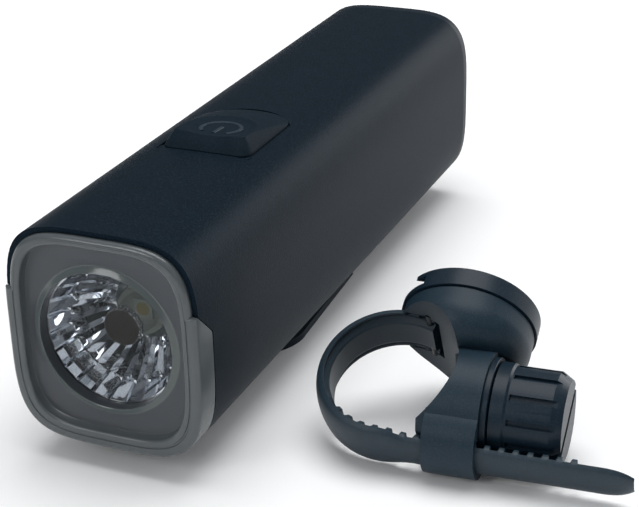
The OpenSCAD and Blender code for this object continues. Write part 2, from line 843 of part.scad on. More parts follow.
// Moulded body: funnel neck, worm barrel and the round-bottomed guide for the strap
module bracket_body() {
    neck_foot = axis_drop;
    color("#161a20") in_bracket() difference() {
        union() {
            rotate_extrude() {
                translate([0, -neck_top - cup_wall]) square([neck_r, cup_wall]);
                intersection() {
                    translate([neck_r - cup_round, -neck_top - cup_wall]) circle(cup_round, $fn = 96);
                    translate([0, -neck_top - cup_wall - cup_drop]) square([neck_r, cup_drop]);
                }
                translate([0, -neck_foot]) square([neck_r - cup_round, neck_foot - neck_top]);
            }
            on_knob_axis(barrel_r, barrel_start, barrel_end);
            translate([guide_start, 0, -guide_drop]) rotate([0, 90, 0])
                cylinder(r = guide_r, h = guide_end - guide_start);
        }
        on_bar(saddle_r, disc_d + 2 * past);
        translate([-disc_d, -loop_w / 2 - air, root_z]) cube([disc_d + root_x, loop_w + 2 * air, disc_d]);
        on_knob_axis(worm_r + running, worm_start, barrel_end + past);
        on_knob_axis(max(collar_flange_r, knob_collar_r) + air, barrel_end, knob_face + past);
        strap_slot();
        translate([worm_start, -tail_w / 2, strap_top])
            cube([barrel_end - collar_t - worm_start, tail_w, -axis_drop - strap_top]);
        translate([0, 0, -socket_floor]) cylinder(r = hub_r + running, h = socket_floor);
        translate([0, 0, -pivot_end]) cylinder(r = pivot_r, h = pivot_end);
        strap_pin_shape(pin_r + seat, pin_len + 2 * seat);
    }
}

// Way of the strap's tail under the worm
module strap_slot() {
    half = tail_w / 2 + guide_slot;
    translate([barrel_start - past, 0, 0]) rotate([90, 0, 90])
        linear_extrude(guide_end - barrel_start + 2 * past) intersection() {
            translate([-half, strap_under - guide_slot])
                square([2 * half, strap_t + 2 * guide_slot]);
            translate([0, -guide_drop]) circle(strap_round + guide_slot);
        }
}

// Thin rubber pad between the barrel's saddle and the handlebar
module bar_pad() {
    pad_w = 13;
    from = -44;
    to = 20;
    color("#1d2025") in_bracket() translate([-bar_offset, 0, -bar_drop]) rotate([90, 0, 0])
        translate([0, 0, -pad_w / 2]) rotate(from) rotate_extrude(angle = to - from, $fn = 96)
            translate([clamp_r, 0]) square([pad_t - seat, pad_w]);
}

// Section of the strap: a flat inner face, short sides and a back drawn in at its edges
module strap_section(w) {
    side = strap_t * 0.45;
    draw_in = w * 0.3;
    polygon([
        [0, -w / 2],
        [side, -w / 2],
        [strap_t, -w / 2 + draw_in],
        [strap_t, w / 2 - draw_in],
        [side, w / 2],
        [0, w / 2]
    ]);
}

// Length of strap lying straight under the worm
module tail_bar(from, to, w) {
    tail_sink = 0.02;
    translate([from, 0, strap_top - tail_sink]) rotate([0, 90, 0]) linear_extrude(to - from) strap_section(w);
}

// Plan of the tail from above, given by the points along one of its edges
module tail_plan(edge) {
    other = [for (i = [len(edge) - 1:-1:0]) [edge[i][0], -edge[i][1]]];
    translate([0, 0, strap_under - past]) linear_extrude(strap_t + 2 * past) polygon(concat(edge, other));
}

// Toothed strap: pinned root, loop round the handlebar and a straight tail through the guide
module strap() {
    teeth_from = 228;
    tooth_angle = tooth_pitch / clamp_r * 180 / PI;
    gullet = tooth_pitch * 0.55;
    loop_teeth = floor((270 - teeth_from) / tooth_angle);
    smooth_tip = 7;
    tail_teeth = floor((tail_end + bar_offset - smooth_tip) / tooth_pitch);
    hinge_angles = [78, 92];
    taper_from = -bar_offset + 3;
    taper_to = -bar_offset + 6;
    tip_len = 5;
    tail_lap = 0.5;
    tail_sink = 0.02;
    color("#1a1e24") in_bracket() difference() {
        union() {
            translate([-bar_offset, 0, -bar_drop]) rotate([90, 0, 0]) rotate(root_angle)
                rotate_extrude(angle = 270 - root_angle, $fn = 96)
                    translate([clamp_r, 0]) strap_section(loop_w);
            intersection() {
                tail_bar(-bar_offset - tail_lap, taper_to, loop_w - 2 * tail_sink);
                tail_plan([
                    [-bar_offset - past, loop_w / 2],
                    [taper_from, loop_w / 2],
                    [taper_to + past, tail_w / 2 - past]
                ]);
            }
            intersection() {
                tail_bar(taper_from, tail_end, tail_w);
                tail_plan([
                    [taper_from - past, tail_w / 2 + past],
                    [tail_end - tip_len, tail_w / 2 + past / 10],
                    [tail_end + past, tail_w / 4]
                ]);
            }
        }
        for (k = [0:loop_teeth - 1])
            translate([-bar_offset, 0, -bar_drop])
                rotate([0, -teeth_from - (k + 0.5) * tooth_angle, 0])
                    translate([clamp_r + tooth_h / 2 - past / 2, 0, 0])
                        cube([tooth_h + past, loop_w + past, gullet], center = true);
        for (k = [0:tail_teeth - 1])
            translate([-bar_offset + (k + 0.5) * tooth_pitch - gullet / 2, -loop_w, strap_top - tooth_h])
                cube([gullet, 2 * loop_w, tooth_h + past]);
        for (a = hinge_angles)
            translate([-bar_offset, 0, -bar_drop]) rotate([0, -a, 0])
                translate([strap_outer_r, 0, 0]) rotate([90, 0, 0])
                    cylinder(r = 0.9, h = loop_w + past, center = true);
        strap_pin_shape(pin_r + seat, loop_w + past);
    }
}

// Axis of the pin through the strap's root, parallel to the handlebar
module strap_pin_shape(r, w) {
    translate([-bar_offset + root_r * cos(pin_angle), 0, -bar_drop + root_r * sin(pin_angle)])
        rotate([90, 0, 0]) cylinder(r = r, h = w, center = true);
}

module strap_pin() {
    color("#9a9ea4") in_bracket() strap_pin_shape(pin_r, pin_len);
}

// Ring pressed into the barrel's open end, which keeps the worm in
module retaining_collar() {
    color("#191d23") in_bracket() difference() {
        union() {
            on_knob_axis(worm_r + running, barrel_end - collar_t, barrel_end);
            on_knob_axis(collar_flange_r, barrel_end, barrel_end + collar_flange_t);
        }
        on_knob_axis(shaft_r + running, barrel_end - collar_t - past, barrel_end + collar_flange_t + past);
    }
}

module worm_screw() {
    color("#5d6269") in_bracket() {
        on_knob_axis(worm_r, worm_start + running, worm_end);
        on_knob_axis(shaft_r, worm_end - past, shaft_end);
    }
}

// Knob with a smooth collar, flat grip panels, a conical nose and a slot for a coin
module clamp_knob() {
    gap_w = 1.1;
    gap_depth = 0.55;
    gap_start = 0.3;
    panel_from = knob_base + knob_collar_len;
    slot_depth = 1.8;
    nose_r = knob_r - knob_nose * 0.63;
    color("#171a1f") in_bracket() difference() {
        translate([0, 0, -axis_drop]) rotate([0, 90, 0]) rotate_extrude() polygon([
            [0, knob_base],
            [knob_collar_r, knob_base],
            [knob_collar_r, panel_from - 0.4],
            [knob_r, panel_from],
            [knob_r, knob_shoulder],
            [nose_r, knob_face],
            [0, knob_face]
        ]);
        for (k = [0:knob_panels - 1])
            translate([0, 0, -axis_drop]) rotate([(k + 0.5) * 360 / knob_panels, 0, 0])
                translate([panel_from + gap_start, -gap_w / 2, knob_r - gap_depth])
                    cube([knob_face - panel_from, gap_w, knob_r]);
        on_knob_axis(shaft_r, knob_base - past, shaft_end);
        translate([knob_face - slot_depth, -coin_slot / 2, -axis_drop - 2 * knob_r])
            cube([slot_depth + past, coin_slot, 4 * knob_r]);
    }
}

body_shell();
front_lens();
lens_seal();
reflector();
collimator();
led_emitter();
led_board();
heat_sink();
cell_cradle();
battery_cell();
control_board();
tact_switch();
button_frame();
power_button();
usb_socket();
rear_cap();
rear_seal();
rear_screws();
port_cover();
mount_foot();
foot_screws();
platform();
pivot_screw();
friction_washer();
bracket_body();
bar_pad();
strap();
strap_pin();
retaining_collar();
worm_screw();
clamp_knob();
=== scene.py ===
"""A bicycle headlight and its strap bracket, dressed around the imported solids. Metres, +Z up."""
import json

import bmesh
import bpy
import numpy as np
from mathutils import Matrix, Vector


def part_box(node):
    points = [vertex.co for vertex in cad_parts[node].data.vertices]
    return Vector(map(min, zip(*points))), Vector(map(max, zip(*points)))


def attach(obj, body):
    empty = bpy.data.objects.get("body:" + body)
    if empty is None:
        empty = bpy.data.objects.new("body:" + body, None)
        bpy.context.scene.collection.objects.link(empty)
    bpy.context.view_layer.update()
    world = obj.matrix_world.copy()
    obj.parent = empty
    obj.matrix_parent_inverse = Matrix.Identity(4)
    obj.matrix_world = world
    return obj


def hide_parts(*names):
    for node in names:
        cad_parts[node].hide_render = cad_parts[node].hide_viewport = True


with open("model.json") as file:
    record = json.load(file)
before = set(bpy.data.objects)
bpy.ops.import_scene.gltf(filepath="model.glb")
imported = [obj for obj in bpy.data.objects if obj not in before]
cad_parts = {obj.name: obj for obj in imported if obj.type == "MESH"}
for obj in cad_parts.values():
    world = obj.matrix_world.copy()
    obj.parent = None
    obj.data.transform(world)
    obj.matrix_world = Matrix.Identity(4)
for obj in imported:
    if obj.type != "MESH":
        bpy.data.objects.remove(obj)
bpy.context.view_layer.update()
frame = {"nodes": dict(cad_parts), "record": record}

# Camera: it stands ahead of the lamp, to the right and above, and looks back along the tube.
# The angles, the place and the focal length were fitted to the edges of the tube in the picture.
MM = 0.001
PICTURE_WIDTH = 639
FOCAL_PIXELS = 1569.2
SENSOR_WIDTH = 36.0
CAMERA_PLACE = np.array([124.21, -262.21, 145.83]) * MM
turn, rise, tilt = np.radians([23.37, 24.73, -1.33])
behind = np.array([np.sin(turn) * np.cos(rise), -np.cos(turn) * np.cos(rise), np.sin(rise)])
level = np.array([np.cos(turn), np.sin(turn), 0.0])
upright = np.cross(behind, level)
stand = np.eye(4)
stand[:3, 0] = np.cos(tilt) * level + np.sin(tilt) * upright
stand[:3, 1] = np.cos(tilt) * upright - np.sin(tilt) * level
stand[:3, 2] = behind
stand[:3, 3] = CAMERA_PLACE
camera = bpy.data.objects.new("camera", bpy.data.cameras.new("camera"))
camera.data.sensor_width = SENSOR_WIDTH
camera.data.lens = SENSOR_WIDTH * FOCAL_PIXELS / PICTURE_WIDTH
camera.data.clip_start = 0.01
camera.matrix_world = Matrix(stand.tolist())
bpy.context.scene.collection.objects.link(camera)
bpy.context.scene.camera = camera
bpy.context.scene.view_settings.view_transform = "Standard"

# Studio: a white table, a pale room that is brighter overhead, and three soft lamps. The lamp at the
# back on the right lights the tube's side and draws the soft line along its upper edge.
ROOM_LOW = 0.12
ROOM_HIGH = 0.5
TABLE_HALF = 3.0


def colour(code):
    """Linear red, green, blue and alpha of an sRGB hex colour."""
    srgb = np.array([int(code[i:i + 2], 16) for i in (1, 3, 5)]) / 255
    linear = np.where(srgb <= 0.04045, srgb / 12.92, ((srgb + 0.055) / 1.055) ** 2.4)
    return (*linear.tolist(), 1.0)


def add(tree, kind, inputs=None, **settings):
    """Adds a shader node. A value in inputs that is a socket is linked, any other is set."""
    made = tree.nodes.new(kind)
    for name, value in settings.items():
        setattr(made, name, value)
    for name, value in (inputs or {}).items():
        if isinstance(value, bpy.types.NodeSocket):
            tree.links.new(value, made.inputs[name])
        else:
            made.inputs[name].default_value = value
    return made


def finish(name, code, rough, **sockets):
    """New material with one principled shader. Further sockets are set by name, with _ for a space."""
    made = bpy.data.materials.new(name)
    made.use_nodes = True
    shader = made.node_tree.nodes["Principled BSDF"]
    shader.inputs["Base Color"].default_value = colour(code)
    shader.inputs["Roughness"].default_value = rough
    for socket, value in sockets.items():
        shader.inputs[socket.replace("_", " ")].default_value = value
    return made


def mesh_object(name, points, faces):
    """Smooth object from points in metres and faces."""
    mesh = bpy.data.meshes.new(name)
    mesh.from_pydata(np.asarray(points).reshape(-1, 3).tolist(), [], [list(map(int, face)) for face in faces])
    mesh.polygons.foreach_set("use_smooth", np.ones(len(mesh.polygons), bool))
    mesh.validate()
    made = bpy.data.objects.new(name, mesh)
    bpy.context.scene.collection.objects.link(made)
    return made


room = bpy.data.worlds.new("pale_room")
room.use_nodes = True
room.node_tree.nodes.clear()
room_coords = add(room.node_tree, "ShaderNodeTexCoord")
room_facing = add(room.node_tree, "ShaderNodeSeparateXYZ", {0: room_coords.outputs["Generated"]})
room_glow = add(room.node_tree, "ShaderNodeMapRange", {
    "Value": room_facing.outputs["Z"], "From Min": 0.1, "From Max": 0.9,
    "To Min": ROOM_LOW, "To Max": ROOM_HIGH})
room_light = add(room.node_tree, "ShaderNodeBackground", {
    "Color": colour("#f4f7fb"), "Strength": room_glow.outputs[0]})
add(room.node_tree, "ShaderNodeOutputWorld", {"Surface": room_light.outputs[0]})
bpy.context.scene.world = room

table_corners = np.array([(-1, -1, 0), (1, -1, 0), (1, 1, 0), (-1, 1, 0)]) * TABLE_HALF
table = mesh_object("table", table_corners, [(0, 1, 2, 3)])
# White paper, uncoated: a plain white without any sheen.
table.data.materials.append(finish("white_paper", "#ffffff", 0.9, Specular_IOR_Level=0.0))

# Each lamp is a disc, with its place, the point it faces, its width in metres and its power in watts.
for lamp_name, place, aim, width, power in (
        ("side_lamp", (0.5, 0.86, 0.3), (0, 0, 0.03), 0.7, 4.0),
        ("top_lamp", (0.05, 0.1, 1.1), (0, 0.05, 0), 1.0, 9.0),
        ("front_lamp", (-0.35, -0.8, 0.5), (0, -0.05, 0.03), 0.4, 2.0)):
    lamp = bpy.data.objects.new(lamp_name, bpy.data.lights.new(lamp_name, "AREA"))
    lamp.data.shape = "DISK"
    lamp.data.size = width
    lamp.data.energy = power
    away = np.array(place, float) - np.array(aim, float)
    away /= np.linalg.norm(away)
    sideways = np.cross((0, 0, 1), away)
    sideways /= np.linalg.norm(sideways)
    placed = np.eye(4)
    placed[:3, :3] = np.c_[sideways, np.cross(away, sideways), away]
    placed[:3, 3] = place
    lamp.matrix_world = Matrix(placed.tolist())
    bpy.context.scene.collection.objects.link(lamp)

# Tube: extruded aluminium, bead blasted and dyed black in the anodising bath. It is milled out below
# the hood for the lens and in its top for the button.
TUBE_EDGE = 0.18
tube_low, tube_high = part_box("body_shell")
hood_edge = tube_low.y / MM
axis_z = (tube_low.z + tube_high.z) / 2 / MM
half_w = (tube_high.x - tube_low.x) / 2 / MM
half_h = (tube_high.z - tube_low.z) / 2 / MM


def grain(made, size_mm, depth_mm=0.0, light="", rough_by=0.0, fleck=""):
    """Noise with grains of a real size. It bumps the surface by a depth, mixes a lighter colour in by a
    cloud nine grains wide, flecks the colour with its peaks, and shifts the roughness up and down."""
    cloud_mm = 9 * size_mm
    fleck_from, fleck_full, fleck_share = 0.48, 0.7, 0.7
    tree = made.node_tree
    shader = tree.nodes["Principled BSDF"]
    shade = shader.inputs["Base Color"]
    coords = add(tree, "ShaderNodeTexCoord").outputs["Object"]
    noise = add(tree, "ShaderNodeTexNoise", {"Vector": coords, "Scale": 1 / (size_mm * MM), "Detail": 3.0})
    if depth_mm:
        bump = add(tree, "ShaderNodeBump", {
            "Height": noise.outputs[0], "Strength": 0.5, "Distance": depth_mm * MM})
        tree.links.new(bump.outputs[0], shader.inputs["Normal"])
    if light:
        cloud = add(tree, "ShaderNodeTexNoise", {
            "Vector": coords, "Scale": 1 / (cloud_mm * MM), "Detail": 4.0})
        clouded = add(tree, "ShaderNodeMix", {
            0: cloud.outputs[0], 6: tuple(shade.default_value), 7: colour(light)}, data_type="RGBA")
        tree.links.new(clouded.outputs[2], shade)
    if fleck:
        under_fleck = shade.links[0].from_socket if shade.is_linked else tuple(shade.default_value)
        peaks = add(tree, "ShaderNodeMapRange", {
            "Value": noise.outputs[0], "From Min": fleck_from, "From Max": fleck_full, "To Max": fleck_share})
        flecked = add(tree, "ShaderNodeMix", {
            0: peaks.outputs[0], 6: under_fleck, 7: colour(fleck)}, data_type="RGBA")
        tree.links.new(flecked.outputs[2], shade)
    if rough_by:
        rough = shader.inputs["Roughness"].default_value
        spread = add(tree, "ShaderNodeMapRange", {
            "Value": noise.outputs[0], "To Min": rough - rough_by, "To Max": rough + rough_by})
        tree.links.new(spread.outputs[0], shader.inputs["Roughness"])
    return made


def moulded_copy(node, body_name, made, edge_mm, sharp=32):
    """Copy of a solid with its loose triangles joined, smooth between its edges and softened along them.
    Points that agree to a ten-millionth of a metre are one, and faces within half a degree are joined."""
    source = frame["nodes"][node].data
    points = np.zeros(len(source.vertices) * 3)
    source.vertices.foreach_get("co", points)
    corners = np.zeros(len(source.loops), int)
    source.loops.foreach_get("vertex_index", corners)
    joined, same = np.unique(np.round(points.reshape(-1, 3), 7), axis=0, return_inverse=True)
    faces = same.reshape(-1)[corners].reshape(-1, 3)
    whole = (faces[:, 0] != faces[:, 1]) & (faces[:, 1] != faces[:, 2]) & (faces[:, 0] != faces[:, 2])
    copy = mesh_object(node + "_finished", joined, faces[whole])
    shape = bmesh.new()
    shape.from_mesh(copy.data)
    bmesh.ops.dissolve_limit(shape, angle_limit=np.radians(0.5), verts=shape.verts, edges=shape.edges)
    shape.to_mesh(copy.data)
    shape.free()
    copy.data.set_sharp_from_angle(angle=np.radians(sharp))
    copy.data.materials.append(made)
    soften = copy.modifiers.new("soft_edges", "BEVEL")
    soften.width = edge_mm * MM
    soften.segments = 2
    soften.limit_method = "ANGLE"
    soften.angle_limit = np.radians(sharp)
    soften.harden_normals = True
    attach(copy, body_name)
    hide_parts(node)
    return copy


# Anodised aluminium, bead blasted: a dull sheen that the blast's grain breaks up, with a cold blue cast
# from the dye. The grain is finer in life, and is drawn 0.3 mm wide so that it shows.
anodised = finish("black_anodised_aluminium_bead_blasted", "#0a141c", 0.46,
                  Specular_IOR_Level=0.065, Specular_Tint=colour("#a2c3dd"))
grain(anodised, 0.3, 0.09, light="#0f1c26", rough_by=0.1, fleck="#202b35")
moulded_copy("body_shell", "light", anodised, TUBE_EDGE)

# Lens: one moulding of smoke polycarbonate. A thick rounded rim stands ahead of the tube, a frosted
# plate lies behind it with a raised lip round the window, and a collar covers the tube's end below the
# hood. It is pressed in and glued. Depths are measured behind the hood's edge.
FULLNESS = 4.1
RING_POINTS = 288
HOOD_WALL = 0.95
HOOD_DROP = 7.9
COLLAR = 4.55
COLLAR_ROUND = 0.2
LENS_FRONT = -1.2
RIM_W = 2.9
RIM_ROUND = 0.9
RIM_INNER_ROUND = 0.5
PLATE_FRONT = 0.7
PLATE_BACK = 2.3
PLATE_LIFT = 0.3
WINDOW_R = 12.5
LIP = 0.6
SKIRT_STEP = 6.95
SKIRT_OUTER = 1.65
SKIRT_INNER = 2.8
SKIRT_BACK = 9
SEAT = 0.05
COLLAR_LEAST = 0.1
HOOD_STEP = 0.3
RIM_LIFT = PLATE_LIFT * 0.7


def rounded_square(angle, a, b):
    """Superellipse: each half size times cosine or sine to the power two over the fullness."""
    c, s = np.cos(angle), np.sin(angle)
    x = a * np.sign(c) * np.abs(c) ** (2 / FULLNESS)
    z = b * np.sign(s) * np.abs(s) ** (2 / FULLNESS)
    return np.stack([x, z], -1)


# The points of a ring are spread evenly over its length, found by walking round it in fine steps.
fine = np.linspace(0, 2 * np.pi, 20001)
steps = np.linalg.norm(np.diff(rounded_square(fine, half_w, half_h), axis=0), axis=1)
walked = np.r_[0, np.cumsum(steps)]
around = np.interp(np.arange(RING_POINTS) / RING_POINTS * walked[-1], walked, fine)
outline = rounded_square(around, half_w, half_h)
bearing = np.arctan2(outline[:, 1], outline[:, 0])


def in_tube(x, y, z):
    """Millimetres from the tube's axis and the hood's edge, as metres in the part's frame."""
    return np.stack(np.broadcast_arrays(x, y + hood_edge, z + axis_z), -1) * MM


def section(inset, y, lift=0.0):
    """Ring with the tube's section, drawn in by inset, at a depth behind the hood's edge."""
    halves = np.array([half_w, half_h]) - np.reshape(inset, (-1, 1))
    x, z = (rounded_square(around, 1, 1) * halves).T
    return in_tube(x, y, z + lift)


def circle(radius, y):
    """Ring round the tube's axis with its points facing those of the section."""
    return in_tube(radius * np.cos(bearing), y, radius * np.sin(bearing))


def loft(name, rings, loop=False, sharp=35):
    """Skin over a row of rings with equal counts. Its ends are capped, or joined where loop is set."""
    rings = np.asarray(rings)
    rows, count = rings.shape[:2]
    index = np.arange(rows * count).reshape(rows, count)
    here = index if loop else index[:-1]
    following = np.roll(index, -1, 0) if loop else index[1:]
    corners = [here, np.roll(here, -1, 1), np.roll(following, -1, 1), following]
    faces = np.stack(corners, -1).reshape(-1, 4).tolist()
    if not loop:
        faces += [index[0][::-1].tolist(), index[-1].tolist()]
    made = mesh_object(name, rings, faces)
    shape = bmesh.new()
    shape.from_mesh(made.data)
    bmesh.ops.recalc_face_normals(shape, faces=shape.faces)
    shape.to_mesh(made.data)
    shape.free()
    made.data.set_sharp_from_angle(angle=np.radians(sharp))
    return made


# Under the hood the lens is smaller by the hood's wall. Below it the collar lies flush with the tube, and
# its rear edge slants up to the hood's edge on the sides.
covered = outline[:, 1] >= HOOD_DROP
under_hood = np.where(covered, HOOD_WALL, 0.0)
collar_end = np.where(covered, 0.0, np.minimum(COLLAR, HOOD_DROP - outline[:, 1]) - SEAT)
collar_end = np.maximum(collar_end, LENS_FRONT + RIM_ROUND + COLLAR_LEAST)
quarter = np.radians(np.arange(0, 91, 15))
# Lip of the window: how far outside the window, and how far ahead of the plate.
lip_profile = ((0.0, LIP - 0.08), (0.1, LIP), (0.95, 0.1), (1.25, 0.0))
# Corner between the plate and the rim: how far inside the rim, and how far ahead of the plate.
corner_profile = ((0.6, 0.0), (0.18, 0.12), (0.0, 0.45))
# Fine line round the rim's front: how far outside its inner wall, least width left outside, depth, lift.
line_profile = ((0.95, 1.0, 0.0, 0.1), (1.05, 0.98, 0.16, 0.1), (1.2, 0.96, 0.16, 0.0), (1.3, 0.94, 0.0, 0.0))
lens_rings = [circle(WINDOW_R, PLATE_BACK)]
lens_rings += [circle(WINDOW_R + out, PLATE_FRONT - ahead) for out, ahead in lip_profile]
lens_rings += [section(RIM_W + inside, PLATE_FRONT - ahead, PLATE_LIFT) for inside, ahead in corner_profile]
lens_rings += [section(RIM_W - RIM_INNER_ROUND * (1 - np.cos(a)),
                       LENS_FRONT + RIM_INNER_ROUND * (1 - np.sin(a)), RIM_LIFT) for a in quarter]
lens_rings += [section(np.maximum(RIM_W - out, under_hood + left), LENS_FRONT + deep, lift)
               for out, left, deep, lift in line_profile]
lens_rings += [section(under_hood + RIM_ROUND * (1 - np.sin(a)),
                       LENS_FRONT + RIM_ROUND * (1 - np.cos(a))) for a in quarter]
lens_rings += [section(under_hood, collar_end - COLLAR_ROUND),
               section(under_hood + COLLAR_ROUND, collar_end),
               section(HOOD_WALL, collar_end + np.where(covered, HOOD_STEP, 0)),
               section(HOOD_WALL, SKIRT_STEP),
               section(SKIRT_OUTER, SKIRT_STEP),
               section(SKIRT_OUTER, SKIRT_BACK),
               section(SKIRT_INNER, SKIRT_BACK),
               section(SKIRT_INNER, PLATE_BACK)]
lens = loft("lens_frame", lens_rings, loop=True)
# Smoke polycarbonate from a textured mould: milky grey, with a broad soft sheen.
frosted = finish("smoke_polycarbonate_frosted", "#3b434a", 0.32, IOR=1.5, Transmission_Weight=0.22)
lens.data.materials.append(grain(frosted, 0.5, light="#45494e", rough_by=0.06))
# The same from a polished part of the mould, on the lip, which catches a clear highlight. Its base colour is
# also lighter than the plate's: a painted highlight.
polished = finish("smoke_polycarbonate_polished_painted_highlight", "#5d6667", 0.14, IOR=1.5, Transmission_Weight=0.22)
lens.data.materials.append(grain(polished, 0.8, light="#687070", rough_by=0.04))
# The same on the thick rim, half polished, with a softer highlight than the lip. Its base colour is lighter
# than the plate's: painted light for the light that shines through the clear rim.
rim_finish = finish("smoke_polycarbonate_rim_painted_light", "#50575a", 0.22, IOR=1.5, Transmission_Weight=0.22)
lens.data.materials.append(grain(rim_finish, 0.6, light="#5f6568", rough_by=0.06))
# The plate's rings get the plain finish, the lip's the painted highlight and the rim's the painted light.
lens_finish = np.zeros(len(lens_rings), int)
lens_finish[1:4] = 1
lens_finish[6:29] = 2
lens.data.polygons.foreach_set("material_index", np.repeat(lens_finish, RING_POINTS))
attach(lens, "light")
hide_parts("front_lens")

# Window: the middle of the same polycarbonate moulding. It is flat and polished in the mould, so it is
# clear where the plate round it is frosted.
WINDOW_GAP = 0.02
WINDOW_SUNK = 0.1
window = loft("lens_window", [circle(WINDOW_R - WINDOW_GAP, PLATE_FRONT - LIP + WINDOW_SUNK),
                              circle(WINDOW_R - WINDOW_GAP, PLATE_BACK)])
# Clear polycarbonate, polished: all but unseen, apart from mirrored lamps.
clear = finish("clear_polycarbonate_polished", "#23282c", 0.03, IOR=1.58, Alpha=0.07)
window.data.materials.append(grain(clear, 2.5, rough_by=0.02))
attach(window, "light")

# Reflector: a moulded plastic bowl, metallised inside in a vacuum and clamped behind the lens. Ridged
# flutes run from the emitter outwards, and a row of flat facets with grooves between them rings the rim.
BOWL_FRONT = 3.35
BOWL_DEPTH = 10.5
BOWL_EDGE_GAP = 0.02
HOLE_R = 4.6
FLUTES = 24
FLUTE_ROWS = 12
TIER_R = 10.4
RIDGE = 0.24
GROOVE_BETWEEN = 0.75
FACET_HOLLOW = 0.05
FLUTE_EDGE = 0.1
FLUTE_STEP = 0.2
FLANGE_W = 1.5
FLANGE_T = 1.1
# Four points a flute: one in the groove, one on the middle of the facet and one on each side of that.
in_flute = np.tile([-0.5, -0.36, 0.0, 0.36], FLUTES)
flute_angle = (np.repeat(np.arange(FLUTES), 4) + in_flute) * 2 * np.pi / FLUTES


def bowl_y(radius):
    """Depth of the bowl's curve: it falls with the square of the radius, from the bowl's whole depth at the
    hole to its front at the window's radius."""
    return BOWL_FRONT + BOWL_DEPTH * (1 - (radius ** 2 - HOLE_R ** 2) / (WINDOW_R ** 2 - HOLE_R ** 2))


def bowl_ring(radius, y, swell=0.0):
    """Ring of the bowl at a depth, with swell added to its radius at each point of the flutes."""
    r = radius + swell * np.ones_like(flute_angle)
    return in_tube(r * np.cos(flute_angle), y, r * np.sin(flute_angle))


grooves = np.where(in_flute == -0.5, GROOVE_BETWEEN, 0.0) - np.where(in_flute == 0.0, FACET_HOLLOW, 0.0)
ridges = 4 * np.abs(in_flute) - 1
# Facets: radius, how far ahead of the bowl's curve, and how much of the grooves is cut there.
facet_profile = ((WINDOW_R - BOWL_EDGE_GAP, 0.93, 0.0), (WINDOW_R - 0.3, 1.45, 0.35),
                 (TIER_R + 0.15, 0.0, 1.0), (TIER_R + 0.1, 0.0, 0.0))
bowl_rings = [bowl_ring(r, bowl_y(r) - ahead, grooves * cut) for r, ahead, cut in facet_profile]
# The ridges of the flutes get lower towards the hole, and end flush with its edge.
for share in np.linspace(0, 1, FLUTE_ROWS):
    flute_r = (TIER_R - FLUTE_EDGE) * (1 - share) + HOLE_R * share
    ridge = RIDGE * flute_r / TIER_R * (1 - share ** 3)
    bowl_rings.append(bowl_ring(flute_r, bowl_y(flute_r) + FLUTE_STEP * (1 - share), ridge * ridges))
# Back and flange: radius and depth.
back_profile = ((HOLE_R, bowl_y(HOLE_R) + 0.9), (WINDOW_R * 0.7, bowl_y(WINDOW_R * 0.7) + 1.3),
                (WINDOW_R + 0.6, BOWL_FRONT + FLANGE_T), (WINDOW_R + FLANGE_W, BOWL_FRONT + FLANGE_T),
                (WINDOW_R + FLANGE_W, BOWL_FRONT), (WINDOW_R - BOWL_EDGE_GAP, BOWL_FRONT))
bowl_rings += [bowl_ring(r, y) for r, y in back_profile]
bowl = loft("reflector_bowl", bowl_rings, loop=True, sharp=14)
# Plastic metallised in a vacuum: a bright mirror, so it shows lamps, table and flutes in hard patches.
mirror = grain(finish("vacuum_metallised_plastic", "#cdd1d6", 0.04, Metallic=1.0), 1.4, rough_by=0.02)
bowl.data.materials.append(mirror)
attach(bowl, "light")
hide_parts("reflector")

# Lamp inside: a clear acrylic tube lens stands over the emitter and leads its light forward. The emitter
# is soldered to a board of aluminium with a pale mask, which shows round the tube lens's foot.
ROD_R = 3.45
ROD_END = BOWL_FRONT + BOWL_DEPTH - 8.0
ROD_FOOT_R = 4.45
KNURLS = 36
KNURL_DEPTH = 0.08
PHOSPHOR_R = 1.25


def dress(node, made):
    """Gives a solid the finish of the real piece."""
    frame["nodes"][node].data.materials.clear()
    frame["nodes"][node].data.materials.append(made)


# Profile of the tube lens from its foot to the hollow in its end: radius and depth.
knurled_r = ROD_R + KNURL_DEPTH * np.cos(bearing * KNURLS)
rod_profile = ((ROD_FOOT_R, 13.7), (ROD_FOOT_R, 12.6), (ROD_R + 0.1, 12.5), (ROD_R, 10.2),
               (ROD_R, ROD_END + 1.6), (knurled_r, ROD_END + 1.4), (knurled_r, ROD_END + 0.3),
               (ROD_R - 0.2, ROD_END), (ROD_R - 0.5, ROD_END + 0.05), (0.1, ROD_END + 0.7))
rod = loft("tube_lens", [circle(radius, y) for radius, y in rod_profile])
# Acrylic, moulded clear: only its edges and the mirrored lamps show.
rod_clear = finish("clear_acrylic_moulded", "#aab3ae", 0.05, IOR=1.49, Alpha=0.16)
rod.data.materials.append(grain(rod_clear, 1.0, rough_by=0.03))
# Its end, frosted, drawn as a dark and faintly brown disc: painted shade for the dark inside behind it.
rod_end = finish("clear_acrylic_frosted_end_painted_shade", "#191817", 0.35, IOR=1.49, Specular_IOR_Level=0.2)
rod.data.materials.append(grain(rod_end, 0.1, light="#393633", rough_by=0.08))
# The band behind the end, knurled: dark, with white flecks in its colour as painted glints.
rod_band = finish("clear_acrylic_knurled_painted_glints", "#20262a", 0.12, IOR=1.49, Alpha=0.75)
rod.data.materials.append(grain(rod_band, 0.24, light="#394145", rough_by=0.08, fleck="#ffffff"))
# Its foot, frosted: a milky grey ring that lets the board show through.
rod_foot = finish("clear_acrylic_frosted_foot", "#838d87", 0.4, IOR=1.49, Alpha=0.75)
rod.data.materials.append(grain(rod_foot, 0.3, light="#949d97", rough_by=0.08))
rod_finish = np.r_[np.repeat([3, 3, 0, 0, 0, 2, 2, 1, 1], RING_POINTS), 3, 1]
rod.data.polygons.foreach_set("material_index", rod_finish)
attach(rod, "light")
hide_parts("collimator")
